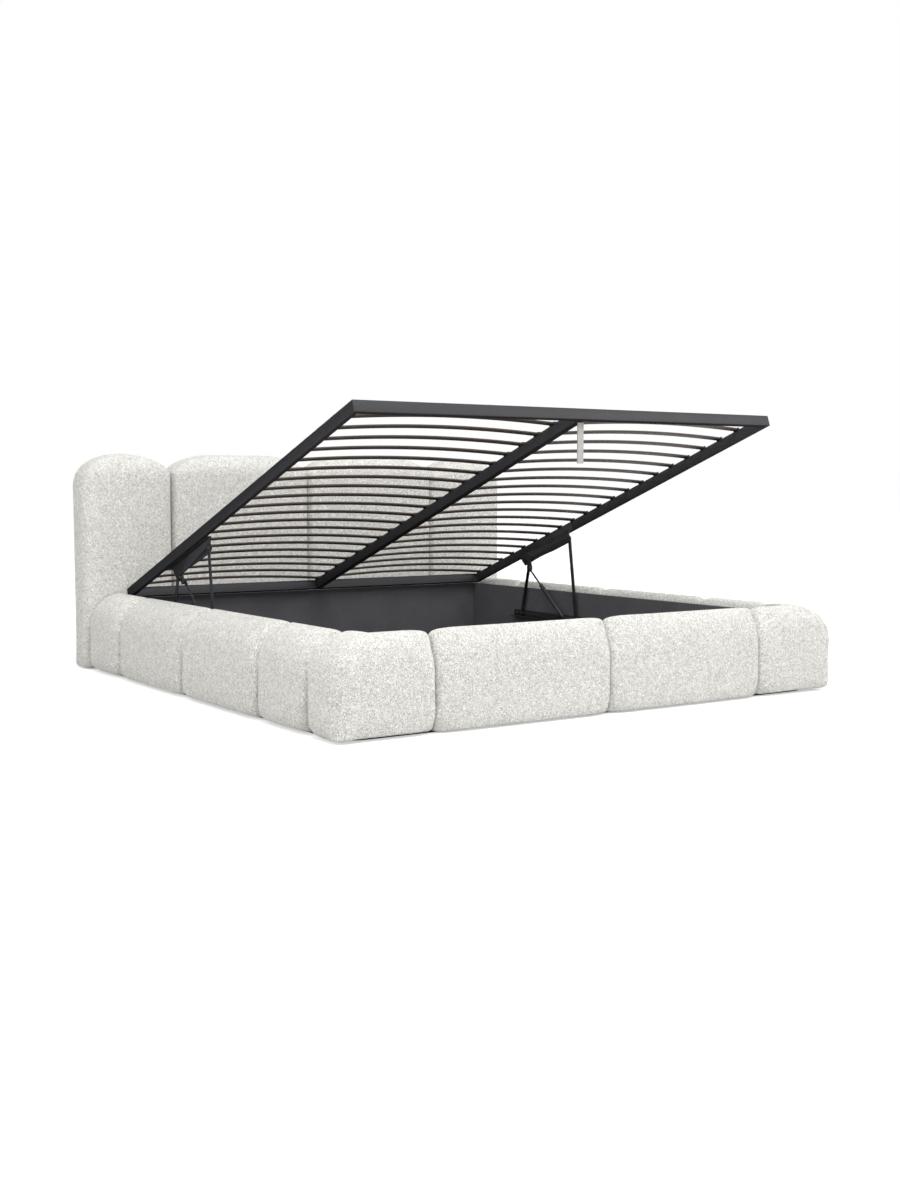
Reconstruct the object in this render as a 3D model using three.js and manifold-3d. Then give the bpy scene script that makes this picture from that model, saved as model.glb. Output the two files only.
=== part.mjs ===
// Upholstered storage bed with a lift-up slatted base, shown with the base raised.
// Millimetres, +Z up, +Y towards the headboard, +X to the right seen from the foot end.
// The origin is on the floor, under the middle of the bed.

import * as THREE from 'three';
import { mergeVertices } from 'three/addons/utils/BufferGeometryUtils.js';
import Module from 'manifold-3d';

// Mattress base: the whole bed is built round it
const frameWidth = 1772;
const frameLength = 2000;
const frameClearance = 2;
const fitGap = 0.3;

// Headboard: padded channels in front of a back panel
const headboardHeight = 893;
const channelDepth = 150;
const backPanelThickness = 30;
const backPanelInset = 28;
const backPanelDrop = 90;
const headSeamShare = 0.621;

// Storage box
const boardThickness = 22;
const boardHeight = 293;
const floorThickness = 12;
const runnerHeight = 12;
const runnerWidth = 60;
const runnerCount = 3;

// Padded rails round the box
const paddingLift = 3;
const sideRailDepth = 164.7;
const footRailDepth = 84.7;
const sideCrown = 319;
const footCrown = 325;
const cornerCrown = 322;
const sideSeamShares = [0, 0.1594, 0.4498, 0.7403, 0.9016];
const footSeamShare = 0.655;

// Rounds of the padding: how far each draws in and how far down it starts
const outerRunShare = 0.74;
const innerRunShare = 0.18;
const footOuterRunShare = 0.52;
const footInnerRunShare = 0.33;
const railOuterDrop = 132;
const railInnerDrop = 24;
const seamRun = 20;
const seamDrop = 20;
const railUnderRound = 16;
const seamUnderRound = 12;
const innerUnderRound = 4;
const railCorner = 16;
const bedCorner = 34;
const backCorner = 6;
const railSwell = 4;
const sidePillowRun = 56;
const sidePillowDrop = 46;
const sidePillowUnderRun = 36;
const sidePillowUnderDrop = 40;
const footPillowRun = 92;
const footPillowDrop = 66;
const footPillowUnderRun = 56;
const footPillowUnderDrop = 48;
const pillowZone = 46;
const headFrontRunShare = 0.49;
const headBackRunShare = 0.27;
const headTopDrop = 78;
const headBackDrop = 46;
const headSeamRunShare = 0.485;
const headSeamDrop = 75;
const headSeamPower = 1.25;
const headOuterRunShare = 0.455;
const headOuterDrop = 128;
const headCorner = 46;
const headUnderRound = 14;
const headSwell = 10;

// Slatted frame
const tubeHeight = 40;
const tubeWidth = 20;
const beamWidth = 30;
const tubeWall = 1.5;
const openHeadGap = 40;
const closedHeadGap = 3;
const openRise = 3;
const closedRise = 1;
const openAngle = THREE.MathUtils.degToRad(20);

// Slats: each row is two bowed halves, capped on the tops of the side tubes and the beam
const slatRows = 20;
const slatWidth = 22;
const slatThickness = 6.5;
const slatCamber = 18;
const slatHeadSpace = 38;
const slatFootSpace = 151;
const capWall = 3;
const capTop = 1;
const capLength = 8.6;
const slatLap = 5;

// Lift linkage: steel plate on the frame, two arms and a gas strut at each side
const plateThickness = 5;
const plateInset = 20;
const plateFlange = 30;
const plateDepth = 50;
const plateStart = 403;
const plateEnd = 796;
const plateRake = 30;
const plateFrontRake = 34;
const armWidth = 17;
const armThickness = 5;
const pinRadius = 6;
const pinClearance = 0.5;
const rollerRadius = 8;
const rearArmSeat = 453;
const frontArmSeat = 773;
const frontArmDrop = 32;
const bossRadius = 15;
const strutSeat = 472;
const strutDrop = 73;
const lugRadius = 12;
const lugWidth = 40;

// Bracket on the side board that carries the arms and the strut
const bracketThickness = 4;
const bracketBottom = 158;
const bracketTop = 191;
const bracketStart = 362;
const bracketFlange = 22;
const bracketMargin = 24;
const slotMargin = 10;
const slotLead = 46;
const rearPivotFromHead = 431;
const strutPivotFromHead = 770;
const frontFootFromHead = 827;
const slotPinRadius = 5;
const slotClearance = 1;
const spacerRadius = 9;

// Gas strut
const strutRadius = 9;
const strutInset = 11;
const strutBody = 226;
const strutBore = 4.6;
const strutBoreDepth = 112;
const rodRadius = 4;
const rodInsert = 56;
const eyeRadius = 11;
const eyeThickness = 8;

// Pull strap at the foot end of the frame
const strapWidth = 25;
const strapThickness = 4;
const strapLength = 138;
const strapFromFoot = 26;
const strapOffset = 6;

// Counts of flat steps on round shapes
const circleSteps = 12;
const arcSteps = 6;
const pathSteps = 10;
const slatSteps = 6;
const cornerSteps = 2;

// Heights of the rings of a padded block, as shares of its under round and of its crown drop
const underShares = [0, 0.12, 0.34, 1];
const crownShares = [0, 0.36, 0.64, 0.84, 0.96, 1];

// Places worked out from the sizes
const boardOuter = frameWidth / 2 + frameClearance;
const boardInner = boardOuter - boardThickness;
const halfWidth = boardOuter + fitGap + sideRailDepth;
const baseLength = footRailDepth + fitGap + frameClearance + frameLength + closedHeadGap;
const halfLength = (baseLength + channelDepth + backPanelThickness) / 2;
const backPanelFront = halfLength - backPanelThickness;
const headFace = backPanelFront - channelDepth;
const closedFoot = headFace - closedHeadGap - frameLength;
const footBoardOuter = closedFoot - frameClearance;
const footBoardInner = footBoardOuter + boardThickness;
const headBoardInner = headFace - fitGap - boardThickness;
const frameHalf = frameWidth / 2;
const tubeInner = frameHalf - tubeWidth;
const pivotHeight = (bracketBottom + bracketTop) / 2;

// Materials
function material(color, roughness, metalness) {
  return new THREE.MeshStandardMaterial({ color, roughness, metalness });
}
const fabric = () => material(0xdbdad5, 0.95, 0);
const lining = () => material(0x4a4a4b, 0.9, 0);
const paintedSteel = () => material(0x2b2b2d, 0.5, 0.4);
const slatWood = () => material(0x332b28, 0.6, 0);
const rodSteel = () => material(0x8a8c90, 0.25, 0.9);
const webbing = () => material(0xc9c9c7, 0.9, 0);

const bed = new THREE.Group();
const liftFrame = new THREE.Group();
bed.add(liftFrame);

function addPiece(parent, name, geometry, finish) {
  const mesh = new THREE.Mesh(geometry, finish);
  mesh.name = name;
  parent.add(mesh);
  return mesh;
}

// Solids
const wasm = await Module();
wasm.setup();

function toSolid(geometry) {
  const bare = geometry.clone();
  bare.deleteAttribute('normal');
  bare.deleteAttribute('uv');
  const merged = mergeVertices(bare);
  const mesh = new wasm.Mesh({
    numProp: 3,
    vertProperties: Float32Array.from(merged.attributes.position.array),
    triVerts: Uint32Array.from(merged.index.array),
  });
  return new wasm.Manifold(mesh);
}

function toGeometry(solid) {
  const mesh = solid.getMesh();
  const geometry = new THREE.BufferGeometry();
  geometry.setAttribute('position', new THREE.BufferAttribute(mesh.vertProperties, mesh.numProp));
  geometry.setIndex(new THREE.BufferAttribute(mesh.triVerts, 1));
  geometry.computeVertexNormals();
  return geometry;
}

function join(...geometries) {
  const solids = geometries.map(toSolid);
  return toGeometry(solids.reduce((whole, next) => whole.add(next)));
}

function cut(geometry, tool) {
  return toGeometry(toSolid(geometry).subtract(toSolid(tool)));
}

function boxBetween(low, high) {
  const [x, y, z] = low.map((value, i) => high[i] - value);
  const geometry = new THREE.BoxGeometry(x, y, z);
  geometry.translate(...low.map((value, i) => (value + high[i]) / 2));
  return geometry;
}

// A flat shape in the bed's side plane, along Y and Z, made thick along X
const sidePlane = new THREE.Matrix4().makeBasis(
  new THREE.Vector3(0, 1, 0),
  new THREE.Vector3(0, 0, 1),
  new THREE.Vector3(1, 0, 0),
);

function sideSolid(shape, side, near, far) {
  const low = Math.min(side * near, side * far);
  const geometry = new THREE.ExtrudeGeometry(shape, {
    depth: Math.abs(far - near),
    bevelEnabled: false,
    curveSegments: arcSteps,
  });
  geometry.applyMatrix4(sidePlane);
  geometry.translate(low, 0, 0);
  return geometry;
}

function circleShape(centre, radius) {
  const corners = [];
  for (let i = 0; i < circleSteps; i += 1) {
    const turn = (2 * Math.PI * i) / circleSteps;
    corners.push(new THREE.Vector2(Math.cos(turn), Math.sin(turn)).multiplyScalar(radius).add(centre));
  }
  return new THREE.Shape(corners);
}

function barShape(start, end, width) {
  const turn = end.clone().sub(start).angle();
  const shape = new THREE.Shape();
  const quarter = Math.PI / 2;
  shape.absarc(start.x, start.y, width / 2, turn + quarter, turn + 3 * quarter);
  shape.absarc(end.x, end.y, width / 2, turn - quarter, turn + quarter);
  return shape;
}

// Padding: level rings from the flat underside to the crown. Sides are in the order
// left, right, front, back, each with its own round; corners run from left front
// anticlockwise. The swell of a side is what its ends are drawn in by. A round with a
// power of 2 is an ellipse, and a lower power leaves an edge where it meets the side.
const roundPower = 2;

function drawnIn(run, drop, depthBelowTop, power) {
  const share = THREE.MathUtils.clamp(1 - depthBelowTop / drop, 0, 1);
  return run * (1 - Math.sqrt(1 - share ** power));
}

// Distance of a point from a side of the block, by the number of the side
function fromSide(block, side, point) {
  const axis = side < 2 ? 0 : 1;
  const value = point.getComponent(axis);
  return side % 2 === 0 ? value - block.low[axis] : block.high[axis] - value;
}

// Pillow ends: near a seam the round of an outer side starts further down, and its
// under round further up. The shift fades out towards the inner side.
function pillowShift(block, point, insets) {
  const shift = new THREE.Vector3();
  for (const pillow of block.pillows) {
    const { outer } = pillow;
    const axis = outer < 2 ? 0 : 1;
    const inner = outer + (outer % 2 === 0 ? 1 : -1);
    const wide = block.high[axis] - block.low[axis] - insets[outer] - insets[inner];
    const share = (fromSide(block, inner, point) - insets[inner]) / wide;
    const seam = Math.min(...pillow.seams.map((side) => fromSide(block, side, point)));
    const above = block.high[2] - point.z - drawnIn(pillow.drop, pillow.run, seam, roundPower);
    const below = point.z - block.low[2]
      - drawnIn(pillow.underDrop, pillow.underRun, seam, roundPower);
    const top = drawnIn(block.run[outer], block.drop[outer], above, roundPower);
    const under = drawnIn(block.under[outer], block.under[outer], below, roundPower);
    const extra = Math.max(top, under) - insets[outer];
    const inward = outer % 2 === 0 ? extra : -extra;
    shift.setComponent(axis, inward * THREE.MathUtils.clamp(share, 0, 1));
  }
  return shift;
}

function ringAt(block, z) {
  const insets = block.run.map((run, i) => {
    const top = drawnIn(run, block.drop[i], block.high[2] - z, block.power[i]);
    const under = drawnIn(block.under[i], block.under[i], z - block.low[2], roundPower);
    return Math.max(top, under);
  });
  const left = block.low[0] + insets[0];
  const right = block.high[0] - insets[1];
  const front = block.low[1] + insets[2];
  const back = block.high[1] - insets[3];
  const widest = Math.min(right - left, back - front) / 2;
  const radii = block.corner.map((radius) => Math.min(radius, widest / 2));
  const swell = block.swell;
  const places = [
    { x: left + radii[0], y: front + radii[0], from: Math.PI, dx: swell[0], dy: swell[2] },
    { x: right - radii[1], y: front + radii[1], from: 1.5 * Math.PI, dx: -swell[1], dy: swell[2] },
    { x: right - radii[2], y: back - radii[2], from: 0, dx: -swell[1], dy: -swell[3] },
    { x: left + radii[3], y: back - radii[3], from: Math.PI / 2, dx: swell[0], dy: -swell[3] },
  ];
  const arcs = places.map((place, i) => {
    const points = [];
    for (let step = 0; step <= cornerSteps; step += 1) {
      const turn = place.from + ((Math.PI / 2) * step) / cornerSteps;
      const x = place.x + place.dx + radii[i] * Math.cos(turn);
      const y = place.y + place.dy + radii[i] * Math.sin(turn);
      points.push(new THREE.Vector3(x, y, z));
    }
    return points;
  });
  const outward = [
    new THREE.Vector3(0, -swell[2], 0),
    new THREE.Vector3(swell[1], 0, 0),
    new THREE.Vector3(0, swell[3], 0),
    new THREE.Vector3(-swell[0], 0, 0),
  ];
  const ring = [];
  arcs.forEach((arc, i) => {
    ring.push(...arc);
    const start = arc[cornerSteps];
    const end = arcs[(i + 1) % arcs.length][0];
    const near = Math.min(pillowZone / start.distanceTo(end), 1 / 4);
    for (const share of [near, 1 / 2, 1 - near]) {
      const bow = 1 - (2 * share - 1) ** 2;
      ring.push(start.clone().lerp(end, share).addScaledVector(outward[i], bow));
    }
  });
  return ring.map((point) => point.clone().add(pillowShift(block, point, insets)));
}

function paddedBlock(block) {
  const tallest = Math.max(...block.drop);
  const pillowUnders = block.pillows.map((pillow) => pillow.underDrop);
  const deepest = Math.max(...block.under, ...pillowUnders);
  const heights = [
    ...underShares.map((share) => block.low[2] + deepest * share),
    ...crownShares.map((share) => block.high[2] - tallest * (1 - share)),
  ];
  const rings = heights.map((z) => ringAt(block, z));
  const size = rings[0].length;
  const points = rings.flat();
  const faces = [];
  for (let level = 0; level + 1 < rings.length; level += 1) {
    for (let i = 0; i < size; i += 1) {
      const a = level * size + i;
      const b = level * size + ((i + 1) % size);
      faces.push(a, b, b + size, a, b + size, a + size);
    }
  }
  const centreOf = (ring) => ring.reduce((sum, p) => sum.add(p), new THREE.Vector3()).divideScalar(size);
  const under = points.push(centreOf(rings[0])) - 1;
  const top = points.push(centreOf(rings[rings.length - 1])) - 1;
  const lastRing = (rings.length - 1) * size;
  for (let i = 0; i < size; i += 1) {
    const next = (i + 1) % size;
    faces.push(under, next, i);
    faces.push(top, lastRing + i, lastRing + next);
  }
  const geometry = new THREE.BufferGeometry();
  geometry.setFromPoints(points);
  geometry.setIndex(faces);
  geometry.computeVertexNormals();
  return geometry;
}

// Headboard
function buildHeadboard() {
  const panel = boxBetween(
    [-halfWidth + backPanelInset, backPanelFront, 0],
    [halfWidth - backPanelInset, halfLength, headboardHeight - backPanelDrop],
  );
  addPiece(bed, 'headboard_back_panel', panel, fabric());
  const seam = halfWidth * headSeamShare;
  const seams = [-halfWidth, -seam, 0, seam, halfWidth];
  const narrow = halfWidth - seam;
  const outerRun = narrow * headOuterRunShare;
  const seamRun = narrow * headSeamRunShare;
  const frontRun = channelDepth * headFrontRunShare;
  const backRun = channelDepth * headBackRunShare;
  for (let i = 0; i + 1 < seams.length; i += 1) {
    const first = i === 0;
    const last = i + 2 === seams.length;
    const channel = paddedBlock({
      low: [seams[i] + (first ? 0 : fitGap / 2), headFace, paddingLift],
      high: [seams[i + 1] - (last ? 0 : fitGap / 2), backPanelFront - fitGap, headboardHeight],
      run: [
        first ? outerRun : seamRun,
        last ? outerRun : seamRun,
        frontRun,
        backRun,
      ],
      drop: [
        first ? headOuterDrop : headSeamDrop,
        last ? headOuterDrop : headSeamDrop,
        headTopDrop,
        headBackDrop,
      ],
      power: [first, last].map((outer) => (outer ? roundPower : headSeamPower))
        .concat(roundPower, roundPower),
      under: [headUnderRound, headUnderRound, headUnderRound, headUnderRound],
      corner: [headCorner, headCorner, backCorner, backCorner],
      swell: [0, 0, headSwell, 0],
      pillows: [],
    });
    addPiece(bed, `headboard_channel_${i + 1}`, channel, fabric());
  }
}

// Boards and floor of the storage box
function buildStorageBox() {
  const rear = headFace - fitGap;
  for (const [name, side] of [['left', -1], ['right', 1]]) {
    const low = Math.min(side * boardInner, side * boardOuter);
    const board = boxBetween([low, footBoardOuter, 0], [low + boardThickness, rear, boardHeight]);
    addPiece(bed, `side_board_${name}`, board, lining());
  }
  const reach = boardInner - fitGap;
  const footBoard = boxBetween([-reach, footBoardOuter, 0], [reach, footBoardInner, boardHeight]);
  addPiece(bed, 'foot_board', footBoard, lining());
  const headBoard = boxBetween([-reach, headBoardInner, 0], [reach, rear, boardHeight]);
  addPiece(bed, 'head_board', headBoard, lining());
  const front = footBoardInner + fitGap;
  const back = headBoardInner - fitGap;
  let floor = boxBetween([-reach, front, runnerHeight], [reach, back, runnerHeight + floorThickness]);
  for (let i = 0; i < runnerCount; i += 1) {
    const centre = (reach - runnerWidth / 2) * ((2 * i) / (runnerCount - 1) - 1);
    const runner = boxBetween(
      [centre - runnerWidth / 2, front, 0],
      [centre + runnerWidth / 2, back, runnerHeight + floorThickness / 2],
    );
    floor = join(floor, runner);
  }
  addPiece(bed, 'storage_floor', floor, lining());
}

// Padded rails: four segments along each side, two across the foot and two corners
function buildRails() {
  const inner = boardOuter + fitGap;
  const rear = headFace - fitGap;
  const ends = sideSeamShares.map((share) => THREE.MathUtils.lerp(rear, -halfLength, share));
  const cornerBack = ends[ends.length - 1];
  const outerRun = sideRailDepth * outerRunShare;
  const innerRun = sideRailDepth * innerRunShare;
  const footOuterRun = footRailDepth * footOuterRunShare;
  const footInnerRun = footRailDepth * footInnerRunShare;
  const footSeam = halfWidth * footSeamShare;
  const power = [roundPower, roundPower, roundPower, roundPower];
  const sidePillow = {
    run: sidePillowRun,
    drop: sidePillowDrop,
    underRun: sidePillowUnderRun,
    underDrop: sidePillowUnderDrop,
  };
  const footPillow = {
    run: footPillowRun,
    drop: footPillowDrop,
    underRun: footPillowUnderRun,
    underDrop: footPillowUnderDrop,
  };
  for (const [name, side] of [['left', -1], ['right', 1]]) {
    const sides = (outer, innerValue) => (side < 0 ? [outer, innerValue] : [innerValue, outer]);
    for (let i = 0; i + 1 < ends.length; i += 1) {
      const trim = i === 0 ? 0 : fitGap / 2;
      const left = side < 0 ? -halfWidth : inner;
      const right = side < 0 ? -inner : halfWidth;
      const edges = side < 0 ? [railCorner, backCorner, backCorner, railCorner]
        : [backCorner, railCorner, railCorner, backCorner];
      const segment = paddedBlock({
        low: [left, ends[i + 1] + fitGap / 2, paddingLift],
        high: [right, ends[i] - trim, sideCrown],
        run: [...sides(outerRun, innerRun), seamRun, seamRun],
        drop: [...sides(railOuterDrop, railInnerDrop), seamDrop, seamDrop],
        power,
        under: [...sides(railUnderRound, innerUnderRound), seamUnderRound, seamUnderRound],
        corner: edges,
        swell: [...sides(railSwell, 0), 0, 0],
        pillows: [{ ...sidePillow, outer: side < 0 ? 0 : 1, seams: [2, 3] }],
      });
      addPiece(bed, `side_channel_${name}_${i + 1}`, segment, fabric());
    }
    const seam = footSeam + fitGap / 2;
    const block = paddedBlock({
      low: [side < 0 ? -halfWidth : seam, -halfLength, paddingLift],
      high: [side < 0 ? -seam : halfWidth, cornerBack - fitGap / 2, cornerCrown],
      run: [...sides(outerRun, seamRun), footOuterRun, seamRun],
      drop: [...sides(railOuterDrop, seamDrop), railOuterDrop, seamDrop],
      power,
      under: [...sides(railUnderRound, seamUnderRound), railUnderRound, seamUnderRound],
      corner: side < 0 ? [bedCorner, railCorner, backCorner, railCorner]
        : [railCorner, bedCorner, railCorner, backCorner],
      swell: [...sides(railSwell, 0), railSwell, 0],
      pillows: [
        { ...sidePillow, outer: side < 0 ? 0 : 1, seams: [3] },
        { ...footPillow, outer: 2, seams: [side < 0 ? 1 : 0] },
      ],
    });
    const hollow = boxBetween(
      [side < 0 ? -inner : -halfWidth, footBoardOuter - fitGap, -cornerCrown],
      [side < 0 ? halfWidth : inner, halfLength, cornerCrown + cornerCrown],
    );
    addPiece(bed, `foot_corner_${name}`, cut(block, hollow), fabric());
    const channel = paddedBlock({
      low: [side < 0 ? -footSeam + fitGap / 2 : fitGap / 2, -halfLength, paddingLift],
      high: [side < 0 ? -fitGap / 2 : footSeam - fitGap / 2, footBoardOuter - fitGap, footCrown],
      run: [seamRun, seamRun, footOuterRun, footInnerRun],
      drop: [seamDrop, seamDrop, railOuterDrop, railInnerDrop],
      power,
      under: [seamUnderRound, seamUnderRound, railUnderRound, innerUnderRound],
      corner: [railCorner, railCorner, backCorner, backCorner],
      swell: [0, 0, railSwell, 0],
      pillows: [{ ...footPillow, outer: 2, seams: [0, 1] }],
    });
    addPiece(bed, `foot_channel_${name}`, channel, fabric());
  }
}

// Motion of the slatted frame, in the side plane as points of Y and Z.
// Its head edge moves back from the open place to the closed place while it turns,
// which together are one turn about a centre above the head end.
const openEdge = new THREE.Vector2(headFace - openHeadGap, boardHeight + openRise);
const closedEdge = new THREE.Vector2(headFace - closedHeadGap, boardHeight + closedRise);
const travel = closedEdge.clone().sub(openEdge);
const turnCentre = new THREE.Vector2(-travel.y, travel.x)
  .divideScalar(2 * Math.tan(openAngle / 2))
  .add(openEdge)
  .addScaledVector(travel, 1 / 2);

// A point of the raised frame, from its distance along the frame and its height
// over the tubes' underside
function framePoint(along, above) {
  return new THREE.Vector2(-along, above).rotateAround(new THREE.Vector2(), -openAngle).add(openEdge);
}

function carried(point, closedShare) {
  return point.clone().rotateAround(turnCentre, openAngle * closedShare);
}

function seenFromFrame(point, closedShare) {
  const raised = point.clone().rotateAround(turnCentre, -openAngle * closedShare).sub(openEdge);
  raised.rotateAround(new THREE.Vector2(), openAngle);
  return new THREE.Vector2(-raised.x, raised.y);
}

// Rear arm: turns on the bracket, and its roller runs under the frame plate
const rollerDrop = plateDepth + rollerRadius + fitGap;
const rearPivot = new THREE.Vector2(headFace - rearPivotFromHead, pivotHeight);
const rearTop = framePoint(rearArmSeat, -rollerDrop);
const rearLength = rearTop.distanceTo(rearPivot);
const rearClosedRise = closedEdge.y - rollerDrop - pivotHeight;
const rearClosedReach = Math.sqrt(rearLength ** 2 - rearClosedRise ** 2);
const rearClosed = new THREE.Vector2(-rearClosedReach, rearClosedRise);
const rearSwing = rearClosed.angle() - rearTop.clone().sub(rearPivot).angle();

function rollerSeenFromFrame(closedShare) {
  const world = rearTop.clone().rotateAround(rearPivot, rearSwing * closedShare);
  return seenFromFrame(world, closedShare);
}

// Front arm: turns on the frame plate, and its foot pin runs in the bracket's curved slot
const frontPivot = framePoint(frontArmSeat, -frontArmDrop);
const frontFoot = new THREE.Vector2(headFace - frontFootFromHead, pivotHeight);
const frontLength = frontFoot.distanceTo(frontPivot);
const frontClosedDrop = carried(frontPivot, 1).y - pivotHeight;
const frontClosedReach = Math.sqrt(frontLength ** 2 - frontClosedDrop ** 2);
const frontClosed = new THREE.Vector2(-frontClosedReach, -frontClosedDrop);
const frontSwing = frontClosed.angle() - frontFoot.clone().sub(frontPivot).angle();

function footPath(closedShare) {
  const arm = frontFoot.clone().sub(frontPivot);
  arm.rotateAround(new THREE.Vector2(), frontSwing * closedShare);
  return carried(frontPivot, closedShare).add(arm);
}

// Layers of the linkage, as distances from the bed's centre plane
const plateInner = tubeInner - plateInset;
const plateOuter = plateInner + plateThickness;
const armInner = plateOuter + fitGap;
const armOuter = armInner + armThickness;
const bracketOuter = boardInner - fitGap;
const bracketInner = bracketOuter - bracketThickness;
const lugInner = plateInner - plateThickness;
const strutCentre = plateInner - strutInset;
const pinHole = pinRadius + pinClearance;

// Slatted frame, laid out as if closed and then raised as a whole
function mitredTube(length) {
  const ring = (wall) => [
    [wall, wall],
    [tubeWidth - wall, wall],
    [tubeWidth - wall, tubeHeight - wall],
    [wall, tubeHeight - wall],
  ];
  const sections = [ring(0), ring(tubeWall)];
  const points = [];
  for (const end of [-1, 1]) {
    for (const section of sections) {
      for (const [across, up] of section) {
        points.push(new THREE.Vector3(end * (length / 2 - across - fitGap), across, up));
      }
    }
  }
  const faces = [];
  const count = sections[0].length;
  const far = 2 * count;
  for (let i = 0; i < count; i += 1) {
    const next = (i + 1) % count;
    faces.push(i, far + next, far + i, i, next, far + next);
    faces.push(count + i, far + count + i, far + count + next);
    faces.push(count + i, far + count + next, count + next);
    faces.push(i, count + next, next, i, count + i, count + next);
    faces.push(far + i, far + next, far + count + next, far + i, far + count + next, far + count + i);
  }
  const geometry = new THREE.BufferGeometry();
  geometry.setFromPoints(points);
  geometry.setIndex(faces);
  geometry.computeVertexNormals();
  return geometry;
}

function buildFrameTubes() {
  const sides = [
    ['frame_foot', frameWidth, 0, 0, -frameLength],
    ['frame_side_right', frameLength, Math.PI / 2, frameHalf, -frameLength / 2],
    ['frame_head', frameWidth, Math.PI, 0, 0],
    ['frame_side_left', frameLength, -Math.PI / 2, -frameHalf, -frameLength / 2],
  ];
  for (const [name, length, turn, x, y] of sides) {
    const tube = addPiece(liftFrame, name, mitredTube(length), paintedSteel());
    tube.rotation.z = turn;
    tube.position.set(x, y, 0);
  }
  const half = beamWidth / 2;
  const ends = [-frameLength + tubeWidth + fitGap, -tubeWidth - fitGap];
  const outer = boxBetween([-half, ends[0], 0], [half, ends[1], tubeHeight]);
  const bore = boxBetween(
    [-half + tubeWall, ends[0] - tubeWidth, tubeWall],
    [half - tubeWall, ends[1] + tubeWidth, tubeHeight - tubeWall],
  );
  addPiece(liftFrame, 'frame_centre_beam', cut(outer, bore), paintedSteel());
}

// One half slat: bowed up between its two ends
function halfSlat(from, to, seat) {
  const shape = new THREE.Shape();
  const rise = (share) => seat + slatCamber * (1 - (2 * share - 1) ** 2);
  const points = [];
  for (let i = 0; i <= slatSteps; i += 1) {
    const share = i / slatSteps;
    points.push(new THREE.Vector2(THREE.MathUtils.lerp(from, to, share), rise(share)));
  }
  for (let i = slatSteps; i >= 0; i -= 1) {
    points.push(points[i].clone().add(new THREE.Vector2(0, slatThickness)));
  }
  shape.setFromPoints(points);
  const geometry = new THREE.ExtrudeGeometry(shape, { depth: slatWidth, bevelEnabled: false });
  geometry.rotateX(Math.PI / 2);
  geometry.translate(0, slatWidth / 2, 0);
  return geometry;
}

function slatRow() {
  const seat = tubeHeight + fitGap;
  const high = seat + slatThickness + capTop;
  const half = slatWidth / 2 + capWall;
  const beamCap = beamWidth / 2 - fitGap;
  const tubeCap = [tubeInner + fitGap, tubeInner + fitGap + capLength];
  const pieces = [boxBetween([-beamCap, -half, seat], [beamCap, half, high])];
  for (const side of [-1, 1]) {
    const cap = tubeCap.map((x) => side * x);
    const slatEnds = [side * (beamCap - slatLap), side * (tubeCap[0] + slatLap)];
    pieces.push(boxBetween([Math.min(...cap), -half, seat], [Math.max(...cap), half, high]));
    pieces.push(halfSlat(Math.min(...slatEnds), Math.max(...slatEnds), seat));
  }
  return join(...pieces);
}

function buildSlats() {
  const row = slatRow();
  const pitch = (frameLength - slatHeadSpace - slatFootSpace) / (slatRows - 1);
  for (let i = 0; i < slatRows; i += 1) {
    const name = `slat_row_${String(i + 1).padStart(2, '0')}`;
    const piece = addPiece(liftFrame, name, row, slatWood());
    piece.position.y = -(slatHeadSpace + pitch * i);
  }
}

// Plate held by a flange on each side tube: its lower edge follows the rear arm's roller
function buildLiftPlate(name, side) {
  const shape = new THREE.Shape();
  shape.moveTo(-plateStart, plateThickness);
  shape.lineTo(-plateStart - plateRake, -plateDepth);
  for (let i = 0; i <= pathSteps; i += 1) {
    const roller = rollerSeenFromFrame(i / pathSteps);
    shape.lineTo(-roller.x, roller.y + rollerRadius + fitGap);
  }
  shape.lineTo(-plateEnd + plateFrontRake, -plateDepth);
  shape.lineTo(-plateEnd, plateThickness);
  const front = new THREE.Vector2(-frontArmSeat, -frontArmDrop);
  const lugFoot = new THREE.Vector2(-strutSeat, -strutDrop);
  const lugHead = new THREE.Vector2(-strutSeat, -lugRadius - fitGap);
  const tubeFace = tubeInner - fitGap;
  const flangeBox = (near, top) => boxBetween(
    [Math.min(side * near, side * tubeFace), -plateEnd, 0],
    [Math.max(side * near, side * tubeFace), -plateStart, top],
  );
  const plate = join(
    sideSolid(shape, side, plateInner, plateOuter),
    flangeBox(plateInner, plateThickness),
    flangeBox(tubeFace - plateThickness, plateFlange),
    sideSolid(circleShape(front, bossRadius), side, plateInner, plateOuter),
    sideSolid(circleShape(front, pinRadius), side, plateInner, armOuter + fitGap),
    sideSolid(barShape(lugFoot, lugHead, 2 * lugRadius), side, lugInner, plateInner + fitGap),
    sideSolid(barShape(
      lugHead.clone().add(new THREE.Vector2(lugWidth / 2, -lugRadius)),
      lugHead.clone().add(new THREE.Vector2(-lugWidth / 2, -lugRadius)),
      2 * lugRadius,
    ), side, lugInner, plateInner + fitGap),
  );
  addPiece(liftFrame, `lift_plate_${name}`, plate, paintedSteel());
}

function buildRearArm(name, side) {
  const shape = barShape(rearPivot, rearTop, armWidth);
  shape.holes.push(circleShape(rearPivot, pinHole));
  const arm = join(
    sideSolid(shape, side, armInner, armOuter),
    sideSolid(circleShape(rearTop, rollerRadius), side, plateInner + 2 * fitGap, armInner + fitGap),
  );
  addPiece(bed, `rear_arm_${name}`, arm, paintedSteel());
}

function buildFrontArm(name, side) {
  const shape = barShape(frontFoot, frontPivot, armWidth);
  shape.holes.push(circleShape(frontPivot, pinHole));
  const arm = join(
    sideSolid(shape, side, armInner, armOuter),
    sideSolid(circleShape(frontFoot, slotPinRadius), side, armOuter - fitGap, bracketOuter - fitGap),
  );
  addPiece(bed, `front_arm_${name}`, arm, paintedSteel());
}

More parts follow.
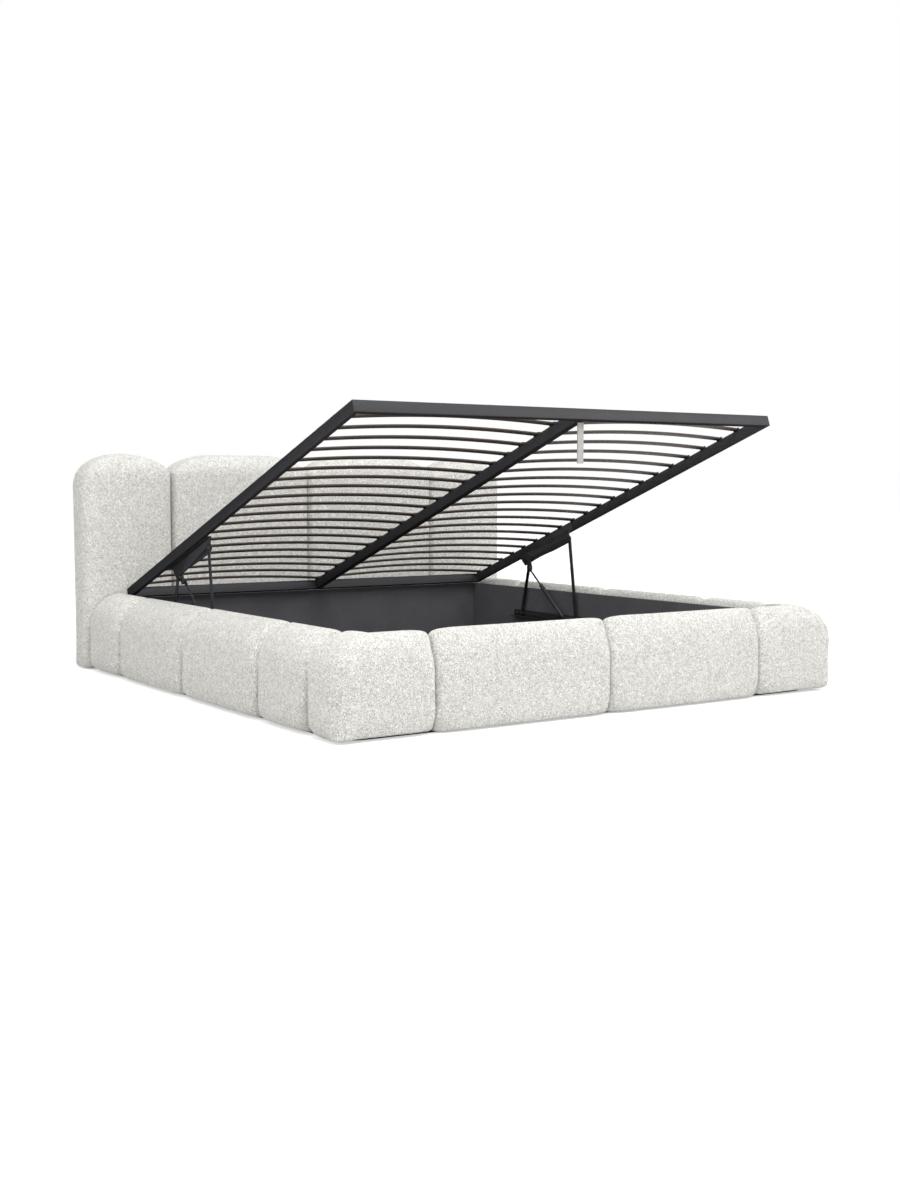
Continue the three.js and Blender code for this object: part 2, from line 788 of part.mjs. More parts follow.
// Bracket on the board: straight bar that deepens where the front arm's foot runs
function buildBracket(name, side) {
  const start = headFace - bracketStart;
  const strutPivot = new THREE.Vector2(headFace - strutPivotFromHead, pivotHeight);
  const slotHalf = slotPinRadius + slotClearance;
  const path = [];
  for (let i = 0; i <= pathSteps; i += 1) {
    path.push(footPath(i / pathSteps));
  }
  const deepest = Math.min(...path.map((point) => point.y)) - slotHalf - slotMargin;
  const end = path[pathSteps].x - slotHalf - bracketMargin;
  const shape = new THREE.Shape();
  shape.moveTo(start, bracketTop);
  shape.lineTo(end, bracketTop);
  shape.lineTo(end, bracketBottom);
  shape.lineTo(end + slotLead, deepest);
  shape.lineTo(path[0].x - slotLead, deepest);
  shape.lineTo(path[0].x + slotLead, bracketBottom);
  shape.lineTo(start, bracketBottom);
  const upper = [];
  const lower = [];
  path.forEach((point, i) => {
    const before = path[Math.max(i - 1, 0)];
    const after = path[Math.min(i + 1, pathSteps)];
    const along = after.clone().sub(before).normalize();
    const across = new THREE.Vector2(-along.y, along.x).multiplyScalar(slotHalf);
    const reach = i === 0 ? -slotHalf : slotHalf;
    const centre = i === 0 || i === pathSteps ? point.clone().addScaledVector(along, reach) : point;
    upper.push(centre.clone().add(across));
    lower.push(centre.clone().sub(across));
  });
  shape.holes.push(new THREE.Path([...upper, ...lower.reverse()]));
  const flangeFront = path[0].x + slotLead;
  const flange = [bracketInner - bracketFlange, bracketOuter].map((x) => x * side);
  const post = (centre, radius, near) => (
    sideSolid(circleShape(centre, radius), side, near, bracketInner + fitGap)
  );
  const eyeOuter = strutCentre + eyeThickness / 2 + fitGap;
  const eyeInner = strutCentre - eyeThickness / 2 - fitGap;
  const bracket = join(
    sideSolid(shape, side, bracketInner, bracketOuter),
    boxBetween(
      [Math.min(...flange), flangeFront, bracketBottom],
      [Math.max(...flange), start, bracketBottom + bracketThickness],
    ),
    post(rearPivot, spacerRadius, armOuter + fitGap),
    post(rearPivot, pinRadius, armInner - fitGap),
    post(strutPivot, spacerRadius, eyeOuter),
    post(strutPivot, pinRadius, eyeInner),
  );
  addPiece(bed, `base_bracket_${name}`, bracket, paintedSteel());
}

// Gas strut: the cylinder hangs on the bracket and its rod reaches the lug of the frame plate
function buildStrut(name, side) {
  const foot = new THREE.Vector2(headFace - strutPivotFromHead, pivotHeight);
  const head = framePoint(strutSeat, -strutDrop);
  const length = head.distanceTo(foot);
  const strut = new THREE.Group();
  strut.position.set(side * strutCentre, foot.x, foot.y);
  strut.rotation.x = head.clone().sub(foot).angle();
  bed.add(strut);
  const centre = new THREE.Vector2();
  const half = eyeThickness / 2;
  const ring = circleShape(centre, eyeRadius);
  ring.holes.push(circleShape(centre, pinHole));
  const floorOfBore = strutBody - strutBoreDepth;
  const bodyProfile = [
    [0, strutRadius],
    [strutRadius, strutRadius],
    [strutRadius, strutBody],
    [strutBore, strutBody],
    [strutBore, floorOfBore],
    [0, floorOfBore],
  ].map(([r, y]) => new THREE.Vector2(r, y));
  const body = new THREE.LatheGeometry(bodyProfile, circleSteps);
  addPiece(strut, `strut_cylinder_${name}`, join(sideSolid(ring, 1, -half, half), body), paintedSteel());
  const rodStart = strutBody - rodInsert;
  const rodProfile = [
    [0, rodStart],
    [rodRadius, rodStart],
    [rodRadius, length],
    [0, length],
  ].map(([r, y]) => new THREE.Vector2(r, y));
  const rod = new THREE.LatheGeometry(rodProfile, circleSteps);
  const top = new THREE.Vector2(length, 0);
  const rodPiece = join(
    rod,
    sideSolid(circleShape(top, eyeRadius), 1, -half, half),
    sideSolid(circleShape(top, slotPinRadius), side, 0, lugInner - strutCentre - fitGap),
  );
  addPiece(strut, `strut_rod_${name}`, rodPiece, rodSteel());
}

// Pull strap: hangs plumb under the foot end of the beam, with both ends rounded
function buildStrap() {
  const half = strapThickness / 2;
  const top = framePoint(frameLength - strapFromFoot, -fitGap - half);
  const end = new THREE.Vector2(top.x, top.y - strapLength + strapThickness);
  const edges = [strapOffset - strapWidth / 2, strapOffset + strapWidth / 2];
  addPiece(bed, 'pull_strap', sideSolid(barShape(top, end, strapThickness), 1, ...edges), webbing());
}

buildHeadboard();
buildStorageBox();
buildRails();
buildFrameTubes();
buildSlats();
for (const [name, side] of [['left', -1], ['right', 1]]) {
  buildLiftPlate(name, side);
  buildRearArm(name, side);
  buildFrontArm(name, side);
  buildBracket(name, side);
  buildStrut(name, side);
}
buildStrap();
liftFrame.position.set(0, openEdge.x, openEdge.y);
liftFrame.rotation.x = -openAngle;

export default bed;
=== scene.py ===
import math

import bmesh
import bpy
import numpy as np
from mathutils import Matrix, Vector


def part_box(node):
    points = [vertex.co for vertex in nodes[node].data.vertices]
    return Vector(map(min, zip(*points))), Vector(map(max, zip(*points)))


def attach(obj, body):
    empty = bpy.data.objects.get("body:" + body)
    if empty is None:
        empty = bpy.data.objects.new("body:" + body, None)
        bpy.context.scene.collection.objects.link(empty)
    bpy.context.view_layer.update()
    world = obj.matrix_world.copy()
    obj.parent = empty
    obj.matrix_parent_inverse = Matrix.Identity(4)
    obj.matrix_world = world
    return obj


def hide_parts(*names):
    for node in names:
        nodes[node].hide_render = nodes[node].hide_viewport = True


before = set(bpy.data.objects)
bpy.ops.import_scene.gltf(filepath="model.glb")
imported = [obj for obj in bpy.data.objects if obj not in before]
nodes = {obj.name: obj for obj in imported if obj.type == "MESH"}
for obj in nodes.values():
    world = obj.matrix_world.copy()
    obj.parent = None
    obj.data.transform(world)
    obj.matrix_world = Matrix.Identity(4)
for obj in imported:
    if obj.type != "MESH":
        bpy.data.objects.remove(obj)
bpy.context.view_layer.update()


# Camera: at sitting height, off the left corner of the foot end, looking along
# the bed to the headboard with the horizon a little above the middle.
camera_place = (-3.04305, -4.70901, 0.75084)
camera_pitch = 85.49
camera_turn = -33.77
camera_lens = 42.66

camera_data = bpy.data.cameras.new("camera")
camera_data.lens = camera_lens
camera = bpy.data.objects.new("camera", camera_data)
camera.location = camera_place
camera.rotation_euler = (math.radians(camera_pitch), 0, math.radians(camera_turn))
bpy.context.scene.collection.objects.link(camera)
bpy.context.scene.camera = camera
bpy.context.scene.view_settings.view_transform = "Standard"


# Studio: a seamless white floor and wall of soft light. The floor shows its shadows
# on a white that only the camera sees, and three large lamps shape the padding.
def linear(code):
    values = [int(code[i:i + 2], 16) / 255 for i in (1, 3, 5)]
    return [v / 12.92 if v <= 0.04045 else ((v + 0.055) / 1.055) ** 2.4 for v in values] + [1]


def add_node(tree, kind, settings=(), links=()):
    node = tree.nodes.new("ShaderNode" + kind)
    for name, value in dict(settings).items():
        if isinstance(name, int) or name in node.inputs:
            node.inputs[name].default_value = value
        else:
            setattr(node, name, value)
    for name, source in dict(links).items():
        tree.links.new(source, node.inputs[name])
    return node


def new_material(name):
    material = bpy.data.materials.new(name)
    material.use_nodes = True
    material.node_tree.nodes.clear()
    return material, material.node_tree


def camera_sees(tree):
    path = add_node(tree, "LightPath")
    seen = add_node(tree, "Math", {"operation": "MAXIMUM"},
                    {0: path.outputs["Is Camera Ray"], 1: path.outputs["Is Glossy Ray"]})
    return add_node(tree, "Math", {"operation": "MAXIMUM"},
                    {0: seen.outputs[0], 1: path.outputs["Is Transmission Ray"]}).outputs[0]


floor_white = "#F4F4F4"
floor_glow = 0.46
floor_width = 60
lamp_aim = Vector((0, 0, 0.4))

bpy.ops.mesh.primitive_plane_add(size=floor_width, location=(0, 0, 0))
floor = bpy.context.object
floor.name = "studio_floor"
# Matt emulsion: white, without any shine.
floor_paint, tree = new_material("matt_studio_paint")
paint = add_node(tree, "BsdfDiffuse", {"Color": linear(floor_white), "Roughness": 1})
strength = add_node(tree, "Math", {"operation": "MULTIPLY", 1: floor_glow},
                    {0: camera_sees(tree)})
glow = add_node(tree, "Emission", {}, {"Strength": strength.outputs[0]})
both = add_node(tree, "AddShader", {}, {0: paint.outputs[0], 1: glow.outputs[0]})
add_node(tree, "OutputMaterial", {}, {"Surface": both.outputs[0]})
floor.data.materials.append(floor_paint)

room_light = 0.62
world = bpy.data.worlds.new("studio_room")
world.use_nodes = True
bpy.context.scene.world = world
tree = world.node_tree
tree.nodes.clear()
level = add_node(tree, "MapRange", {"To Min": room_light, "To Max": 1.0},
                 {"Value": camera_sees(tree)})
backdrop = add_node(tree, "Background", {"Color": (1, 1, 1, 1)}, {"Strength": level.outputs[0]})
add_node(tree, "OutputWorld", {}, {"Surface": backdrop.outputs[0]})

for name, place, width, watts in [
    ("front_softbox", (4.2, -4.1, 3.8), 2.0, 86),
    ("side_softbox", (-4.6, -0.8, 2.6), 2.6, 20),
    ("top_softbox", (-0.6, -2.0, 4.4), 3.6, 185),
]:
    lamp_data = bpy.data.lights.new(name, "AREA")
    lamp_data.size = width
    lamp_data.energy = watts
    lamp = bpy.data.objects.new(name, lamp_data)
    lamp.location = place
    lamp.rotation_euler = (lamp_aim - Vector(place)).to_track_quat("-Z", "Y").to_euler()
    bpy.context.scene.collection.objects.link(lamp)


# Headboard: four foam channels in looped boucle, one cover sewn down between them,
# with the top and the outer sides rolled over towards the back.
curl_width = 0.0062
yarn_width = 0.0028
clump_width = 0.032
curl_height = 0.0024
curl_light = "#FBFAF5"
# Grey for the painted shade between the loops.
curl_painted_shade = "#A09E97"
weld_distance = 0.00005
cloth_voxel = 0.0082
cloth_pressure = 4
cloth_frames = 20
cloth_rise = 0.004
relax_passes = 3

# Boucle of a wool and polyester blend: off-white loops give a matt, flecked face. The low
# ground between the loops is painted grey as painted shade, and larger clumps vary the
# tone at random. The real loops are about 4 mm wide and are drawn 6 mm wide, so that
# they still show at this distance.
boucle, tree = new_material("boucle_wool_blend")
place = add_node(tree, "TexCoord").outputs["Object"]
curls = add_node(tree, "TexNoise",
                 {"Scale": 1 / curl_width, "Detail": 1.0, "Roughness": 0.5, "Distortion": 2.4},
                 {"Vector": place})
yarn = add_node(tree, "TexNoise", {"Scale": 1 / yarn_width, "Detail": 2.0, "Distortion": 0.8},
                {"Vector": place})
clumps = add_node(tree, "TexNoise", {"Scale": 1 / clump_width, "Detail": 2.0}, {"Vector": place})
crest = add_node(tree, "MapRange", {"From Min": 0.42, "From Max": 0.6},
                 {"Value": curls.outputs["Fac"]})
height = add_node(tree, "Math", {"operation": "MULTIPLY_ADD", 1: 0.5},
                  {0: yarn.outputs["Fac"], 2: crest.outputs[0]})
tone = add_node(tree, "Math", {"operation": "MULTIPLY_ADD", 1: 0.25},
                {0: clumps.outputs["Fac"], 2: height.outputs[0]})
# Darker where the loops are low: painted shade between them, with the clumps' random tone.
painted_shade_and_clumps = add_node(tree, "MapRange", {"From Min": 0.1, "From Max": 1.35}, {"Value": tone.outputs[0]})
shade = add_node(tree, "Mix", {"data_type": "RGBA", 6: linear(curl_painted_shade), 7: linear(curl_light)},
                 {0: painted_shade_and_clumps.outputs[0]})
bump = add_node(tree, "Bump", {"Strength": 0.6, "Distance": curl_height},
                {"Height": height.outputs[0]})
cloth = add_node(tree, "BsdfPrincipled",
                 {"Roughness": 0.95, "Specular IOR Level": 0.15, "Sheen Weight": 0.1,
                  "Sheen Roughness": 0.6},
                 {"Base Color": shade.outputs[2], "Normal": bump.outputs[0]})
add_node(tree, "OutputMaterial", {}, {"Surface": cloth.outputs[0]})


def points_of(piece):
    flat = np.zeros(len(piece.data.vertices) * 3)
    piece.data.vertices.foreach_get("co", flat)
    return flat.reshape(-1, 3)


def move_points(piece, points):
    piece.data.vertices.foreach_set("co", points.astype(np.float32).ravel())
    piece.data.update()


def only(piece):
    bpy.ops.object.select_all(action="DESELECT")
    piece.select_set(True)
    bpy.context.view_layer.objects.active = piece


def fit_to_node(piece, node):
    low, high = (np.array(corner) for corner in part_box(node))
    points = points_of(piece)
    share = (points - points.min(0)) / (points.max(0) - points.min(0))
    move_points(piece, low + share * (high - low))


def draw_in_shoulders(piece, seams, ridge, shoulder, reach):
    # Each seam pulls the roll of the pad beside it inward: the ridge a little, the
    # shoulder between the top and the outer face most, the foot of the face less.
    measured = 0.03
    outward_share = 0.7
    bottom_share = 0.4
    points = points_of(piece)
    for run, plane, out, side in seams:
        distance = np.abs(points[:, run] - plane)
        beside = points[distance < measured]
        low, high = beside.min(0), beside.max(0)
        place = (points - (low + high) / 2) * 2 / (high - low)
        across, up = place[:, out], place[:, 2]
        near = np.clip(1 - distance / reach, 0, 1)
        turn = 1 - np.sqrt(1 - near ** 2)
        outer = shoulder * turn * np.clip(side * across, 0, 1) ** 2
        top = np.clip(up, 0, 1) ** 3
        bottom = np.clip(-up, 0, 1) ** 3 * bottom_share
        points[:, out] -= side * outer * (top + bottom) * outward_share
        points[:, 2] += outer * bottom - (ridge * turn + outer) * top
    move_points(piece, points)


def stuffed_pad(name, node, seams=(), ridge=0.0, shoulder=0.0, reach=0.07):
    # The foam presses the sewn cover out like air in a cushion. Its rise is held to 4 mm,
    # so that the pad keeps the size of the solid that it stands for.
    piece = bpy.data.objects.new(name, nodes[node].data.copy())
    bpy.context.scene.collection.objects.link(piece)
    piece.data.materials.clear()
    only(piece)
    bpy.ops.object.mode_set(mode="EDIT")
    bpy.ops.mesh.select_all(action="SELECT")
    bpy.ops.mesh.remove_doubles(threshold=weld_distance)
    bpy.ops.object.mode_set(mode="OBJECT")
    piece.data.remesh_voxel_size = cloth_voxel
    piece.data.remesh_voxel_adaptivity = 0
    bpy.ops.object.voxel_remesh()
    start = points_of(piece)
    cloth = piece.modifiers.new("stuffing", "CLOTH")
    cloth.settings.use_pressure = True
    cloth.settings.uniform_pressure_force = cloth_pressure
    cloth.settings.effector_weights.gravity = 0
    cloth.collision_settings.use_collision = False
    for number in range(1, cloth_frames + 1):
        bpy.context.scene.frame_set(number)
    bpy.ops.object.modifier_apply(modifier=cloth.name)
    bpy.context.scene.frame_set(1)
    shift = points_of(piece) - start
    length = np.linalg.norm(shift, axis=1, keepdims=True)
    move_points(piece, start + shift * np.minimum(1, cloth_rise / np.maximum(length, 1e-9)))
    bpy.ops.object.mode_set(mode="EDIT")
    bpy.ops.mesh.select_all(action="SELECT")
    bpy.ops.mesh.vertices_smooth(factor=0.5, repeat=relax_passes)
    bpy.ops.object.mode_set(mode="OBJECT")
    fit_to_node(piece, node)
    draw_in_shoulders(piece, seams, ridge, shoulder, reach)
    finer = piece.modifiers.new("finer", "SUBSURF")
    finer.levels = finer.render_levels = 1
    bpy.ops.object.modifier_apply(modifier=finer.name)
    bpy.ops.object.shade_smooth()
    piece.data.materials.append(boucle)
    return piece


def twin_of(piece, name, mirrored=False):
    twin = bpy.data.objects.new(name, piece.data.copy())
    bpy.context.scene.collection.objects.link(twin)
    if mirrored:
        twin.data.transform(Matrix.Scale(-1, 4, (1, 0, 0)))
        twin.data.flip_normals()
    return twin


def dress(piece, node):
    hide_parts(node)
    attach(piece, "base")


def dress_twin(piece, name, node, mirrored=True):
    twin = twin_of(piece, name, mirrored)
    fit_to_node(twin, node)
    dress(twin, node)


pads = {}
for number, master in [(1, 1), (2, 2), (3, 2), (4, 1)]:
    name, node = f"headboard_pad_{number}", f"headboard_channel_{number}"
    if number == master:
        pads[number] = stuffed_pad(name, node)
        dress(pads[number], node)
    else:
        dress_twin(pads[master], name, node)


# Side rails: each side has four foam segments in the same boucle, butted and sewn
# end to end along the box, with a deep roll over the outer edge.
side_ends = {"ridge": 0.009, "shoulder": 0.028, "reach": 0.065}


def end_seams(node, run, out, side):
    return [(run, corner[run], out, side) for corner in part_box(node)]


pads = {}
for number, master in [(1, 1), (2, 2), (3, 2), (4, 4)]:
    left, right = (f"side_channel_{side}_{number}" for side in ("left", "right"))
    if number == master:
        seams = end_seams(left, 1, 0, -1)
        pads[number] = stuffed_pad(f"side_pad_left_{number}", left, seams, **side_ends)
        dress(pads[number], left)
    else:
        dress_twin(pads[master], f"side_pad_left_{number}", left, False)
    dress_twin(pads[master], f"side_pad_right_{number}", right)


# Foot rail: two long segments across the end and two that turn the corners, the same
# foam and boucle, thinner here because the slatted base reaches further back.
foot_ends = {"ridge": 0.016, "shoulder": 0.07, "reach": 0.095}
set_back = 0.0022
notch_depth = 0.006
notch_reach = 0.018
plan_round = 0.09
plan_power = 3.4

outer_corner = np.array(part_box("foot_corner_left")[0][:2])
side_face, foot_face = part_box("side_channel_left_4")[1][0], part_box("foot_channel_left")[1][1]
inner_corner = np.array([side_face, foot_face]) - set_back


def keep_outside(points):
    # The slatted base closes inside the rails, so the padding stays behind their inner
    # faces and gives the frame's corner a small notch.
    beyond = points[:, :2] - inner_corner
    for axis in (0, 1):
        caught = (beyond.min(1) > 0) & (beyond[:, axis] <= beyond.min(1))
        points[caught, axis] = inner_corner[axis]
    close = np.clip(1 - np.hypot(*(points[:, :2] - inner_corner).T) / notch_reach, 0, 1)
    points[:, :2] -= notch_depth * close[:, None]


def fill_corner(points):
    # The relaxed cloth leaves the upright edge too round, so it is filled out in plan.
    turn = (outer_corner + plan_round - points[:, :2]) / plan_round
    around = (turn > 0).all(1)
    turn = turn[around]
    fuller = np.linalg.norm(turn, axis=1) / (turn ** plan_power).sum(1) ** (1 / plan_power)
    points[around, :2] = outer_corner + plan_round * (1 - np.minimum(turn * fuller[:, None], 1))


for name in ("foot_corner", "foot_channel"):
    left, right = f"{name}_left", f"{name}_right"
    seams = end_seams(left, 0, 1, -1)
    if name == "foot_corner":
        seams = [seams[1], end_seams(left, 1, 0, -1)[1]]
    pad = stuffed_pad(f"{name}_pad_left", left, seams, **foot_ends)
    points = points_of(pad)
    keep_outside(points)
    if name == "foot_corner":
        fill_corner(points)
    move_points(pad, points)
    dress(pad, left)
    dress_twin(pad, f"{name}_pad_right", right)


# Back of the headboard: a board with the boucle pulled round its edges, closed by a
# sheet of black spunbond cloth that is stapled on 20 mm in from the edge.
panel_round = 0.006
dust_inset = 0.02
dust_thick = 0.0006
staple_width = 0.011
staple_wire = 0.0006
staple_step = 0.07
staple_inset = 0.006
grain_height = 0.0001
spunbond_black = "#2B2B2C"
staple_grey = "#B8B9BA"


def block(name, low, high):
    bpy.ops.object.select_all(action="DESELECT")
    bpy.ops.mesh.primitive_cube_add(
        size=1,
        location=[(a + b) / 2 for a, b in zip(low, high)],
        scale=[b - a for a, b in zip(low, high)],
    )
    piece = bpy.context.object
    piece.name = name
    bpy.ops.object.transform_apply(location=True, rotation=True, scale=True)
    return piece


def pick_edges(piece, wanted):
    only(piece)
    bpy.ops.object.mode_set(mode="EDIT")
    bpy.ops.mesh.select_mode(type="EDGE")
    bpy.ops.mesh.select_all(action="DESELECT")
    mesh = bmesh.from_edit_mesh(piece.data)
    for edge in mesh.edges:
        edge.select_set(wanted(*(v.co for v in edge.verts)))
    bmesh.update_edit_mesh(piece.data)


def round_edges(piece, radius, steps, wanted):
    pick_edges(piece, wanted)
    bpy.ops.mesh.bevel(offset=radius, segments=steps, affect="EDGES")
    bpy.ops.object.mode_set(mode="OBJECT")


def finish_piece(piece, body, material, smooth=35, replaced=()):
    only(piece)
    bpy.ops.object.shade_smooth_by_angle(angle=math.radians(smooth))
    piece.data.materials.clear()
    piece.data.materials.append(material)
    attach(piece, body)
    if replaced:
        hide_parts(*replaced)
    return piece


def join_all(pieces, name):
    bpy.ops.object.select_all(action="DESELECT")
    for piece in pieces:
        piece.select_set(True)
    bpy.context.view_layer.objects.active = pieces[0]
    bpy.ops.object.join()
    pieces[0].name = name
    return pieces[0]


def plain_material(name, colour, settings, grain_width):
    material, tree = new_material(name)
    place = add_node(tree, "TexCoord").outputs["Object"]
    grain = add_node(tree, "TexNoise", {"Scale": 1 / grain_width, "Detail": 2.0}, {"Vector": place})
    bump = add_node(tree, "Bump", {"Strength": 0.3, "Distance": grain_height},
                    {"Height": grain.outputs["Fac"]})
    surface = add_node(tree, "BsdfPrincipled", {"Base Color": linear(colour), **settings},
                       {"Normal": bump.outputs[0]})
    add_node(tree, "OutputMaterial", {}, {"Surface": surface.outputs[0]})
    return material


# Spunbond polypropylene: matt black, with bonded dots 1.4 mm apart. Staples of drawn
# and galvanised wire: bright and smooth.
spunbond = plain_material("black_spunbond_cloth", spunbond_black,
                          {"Roughness": 0.9, "Specular IOR Level": 0.1}, 1 / 700)
staple_steel = plain_material("bright_staple_wire", staple_grey,
                              {"Roughness": 0.35, "Metallic": 0.9}, 1 / 400)

low, high = (Vector(corner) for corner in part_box("headboard_back_panel"))
panel = block("back_panel", low, high)
round_edges(panel, panel_round, 3, lambda a, b: True)
finish_piece(panel, "base", boucle, replaced=["headboard_back_panel"])
inner_low = low + Vector((dust_inset, 0, dust_inset))
inner_high = high - Vector((dust_inset, 0, dust_inset))
dust = block("dust_cover", (inner_low.x, high.y, inner_low.z),
             (inner_high.x, high.y + dust_thick, inner_high.z))
round_edges(dust, dust_thick / 2, 1, lambda a, b: min(a.y, b.y) > high.y + dust_thick / 2)
finish_piece(dust, "base", spunbond)

staples = []
wide, tall = inner_high.x - inner_low.x, inner_high.z - inner_low.z
for long, length, start, end in [(0, wide, inner_low.z, inner_high.z),
                                 (2, tall, inner_low.x, inner_high.x)]:
    count = round(length / staple_step)
    for i in range(count):
        for edge, inward in ((start, 1), (end, -1)):
            middle = Vector((0, high.y + dust_thick, 0))
            middle[long] = inner_low[long] + (i + 0.5) * length / count
            middle[2 - long] = edge + inward * staple_inset
            half = Vector((staple_wire / 2,) * 3)
            half[long] = staple_width / 2
            staples.append(block("staple", middle - half, middle + half))
            round_edges(staples[-1], staple_wire * 0.3, 1, lambda a, b: True)
finish_piece(join_all(staples, "dust_cover_staples"), "base", staple_steel)


# Under-cloth: a strip of the same black cloth closes the underside of each rail and of
# the headboard, tacked on well inside the padding and just clear of the floor. Its black
# also paints the contact shadow under the padding: a dark strip as painted shadow.
cloth_low = 0.0004
cloth_high = 0.0028
cloth_edge = 0.058
cloth_corner = 0.08
rail_inner = 0.8885
outer_face = 1.053
foot_front = -1.135
foot_inner_face = -1.0508
head_front = 0.955
head_back = 1.104
hem_round = 0.0008
joint_gap = 0.0003

strips = []
for side in (-1, 1):
    edges = sorted([side * rail_inner, side * (outer_face - cloth_edge)])
    strips.append(block("strip", (edges[0], foot_front + cloth_edge, cloth_low),
                        (edges[1], head_back, cloth_high)))
    round_edges(strips[-1], cloth_corner, 6, lambda a, b: (
        a.y < foot_front + 2 * cloth_edge
        and min(abs(a.x), abs(b.x)) > outer_face - 2 * cloth_edge
        and abs(a.z - b.z) > cloth_low))
inside = rail_inner - joint_gap
strips.append(block("strip", (-inside, foot_front + cloth_edge, cloth_low),
                    (inside, foot_inner_face, cloth_high)))
strips.append(block("strip", (-inside, head_front, cloth_low), (inside, head_back, cloth_high)))
for strip in strips:
    round_edges(strip, hem_round, 2, lambda a, b: True)
finish_piece(join_all(strips, "under_cloth_and_painted_shadow"), "base", spunbond)


# Storage box: chipboard sides, ends and floor, each wrapped in dark needle felt
# that hides the board, standing on the floor inside the rails.
felt_dark = "#565659"
felt_light = "#69696C"
fibre_width = 0.0012
fibre_length = 0.009
nap_height = 0.0006
patch_width = 1 / 9

# Needle-punched polyester felt: matt charcoal with short pale fibres, in patches about
# 110 mm wide. The fibres are drawn 1.2 mm wide, coarser than real, so that they show.
felt, tree = new_material("needle_felt_lining")
place = add_node(tree, "TexCoord").outputs["Object"]
laid = add_node(tree, "Mapping", {"Scale": (1 / fibre_length, 1 / fibre_length, 1 / fibre_width)},
                {"Vector": place})
fibres = add_node(tree, "TexNoise", {"Scale": 1.0, "Detail": 4.0, "Roughness": 0.65},
                  {"Vector": laid.outputs[0]})
patches = add_node(tree, "TexNoise", {"Scale": 1 / patch_width, "Detail": 2.0}, {"Vector": place})
tone = add_node(tree, "Math", {"operation": "MULTIPLY_ADD", 1: 0.4},
                {0: patches.outputs["Fac"], 2: fibres.outputs["Fac"]})
share = add_node(tree, "MapRange", {"From Min": 0.45, "From Max": 0.95},
                 {"Value": tone.outputs[0]})
shade = add_node(tree, "Mix", {"data_type": "RGBA", 6: linear(felt_dark), 7: linear(felt_light)},
                 {0: share.outputs[0]})
bump = add_node(tree, "Bump", {"Strength": 0.3, "Distance": nap_height},
                {"Height": fibres.outputs["Fac"]})
cloth = add_node(tree, "BsdfPrincipled", {"Roughness": 0.95, "Specular IOR Level": 0.1},
                 {"Base Color": shade.outputs[2], "Normal": bump.outputs[0]})
add_node(tree, "OutputMaterial", {}, {"Surface": cloth.outputs[0]})

for name in ["side_board_left", "side_board_right", "foot_board", "head_board", "storage_floor"]:
    nodes[name].data.materials.clear()
    nodes[name].data.materials.append(felt)


# Lifting frame: rectangular steel tube, 40 mm high and 20 mm wide with a 2.5 mm corner,
# mitred and welded at the corners, with a wider beam along the middle, and powder coated
# satin black. The mitres are ground flush and the inner corners keep their weld beads.
tube_high = 0.04
tube_wide = 0.02
beam_wide = 0.03
tube_corner = 0.0025
frame_half = 0.886
frame_long = 2.0
raise_angle = math.radians(20)
head_edge = (0, 0.915, 0.296)
bead_radius = 0.0016
bead_ripple = 0.0022
plate_reach = (-0.796, -0.403)
plate_flange = 0.03
coat_black = "#434345"
coat_edge = (0.05, 0.05, 0.05, 1)
peel_width = 0.0014
peel_height = 0.0002
haze_width = 1 / 7

# Polyester powder coat on steel: black, with a faint orange peel that softens the light
# of the lamps to a grey sheen, while a dark tint keeps the edges from going pale.
powder_coat, tree = new_material("black_powder_coat")
place = add_node(tree, "TexCoord").outputs["Object"]
peel = add_node(tree, "TexNoise", {"Scale": 1 / peel_width, "Detail": 1.0}, {"Vector": place})
haze = add_node(tree, "TexNoise", {"Scale": 1 / haze_width, "Detail": 3.0}, {"Vector": place})
rough = add_node(tree, "MapRange", {"To Min": 0.4, "To Max": 0.5}, {"Value": haze.outputs["Fac"]})
bump = add_node(tree, "Bump", {"Strength": 0.25, "Distance": peel_height},
                {"Height": peel.outputs["Fac"]})
coat = add_node(tree, "BsdfPrincipled",
                {"Base Color": linear(coat_black), "Metallic": 0.6, "Specular IOR Level": 0.0,
                 "Specular Tint": coat_edge},
                {"Roughness": rough.outputs[0], "Normal": bump.outputs[0]})
add_node(tree, "OutputMaterial", {}, {"Surface": coat.outputs[0]})


def pick_points(piece, wanted):
    only(piece)
    bpy.ops.object.mode_set(mode="EDIT")
    bpy.ops.mesh.select_mode(type="VERT")
    bpy.ops.mesh.select_all(action="DESELECT")
    mesh = bmesh.from_edit_mesh(piece.data)
    for point in mesh.verts:
        point.select_set(wanted(point.co))
    mesh.select_flush(True)
    bmesh.update_edit_mesh(piece.data)


def along(axis):
    return lambda a, b: abs(a[axis] - b[axis]) > 0.6 * (a - b).length


def raise_with_frame(piece):
    only(piece)
    piece.rotation_euler = (-raise_angle, 0, 0)
    piece.location = head_edge
    bpy.ops.object.transform_apply(location=True, rotation=True, scale=True)


def frame_tube(name, low, high, long_axis, inner, replaced):
    piece = block(name, low, high)
    if inner is not None:
        across = 1 - long_axis
        pick_points(piece, lambda p: abs(p[across] - inner) < joint_gap)
        half = (high[long_axis] - low[long_axis]) / 2
        scale = [1, 1, 1]
        scale[long_axis] = (half - tube_wide) / half
        middle = [(a + b) / 2 for a, b in zip(low, high)]
        bpy.ops.transform.resize(value=scale, center_override=middle)
        bpy.ops.object.mode_set(mode="OBJECT")
    round_edges(piece, tube_corner, 3, along(long_axis))
    raise_with_frame(piece)
    finish_piece(piece, "lift_frame", powder_coat, replaced=[replaced])


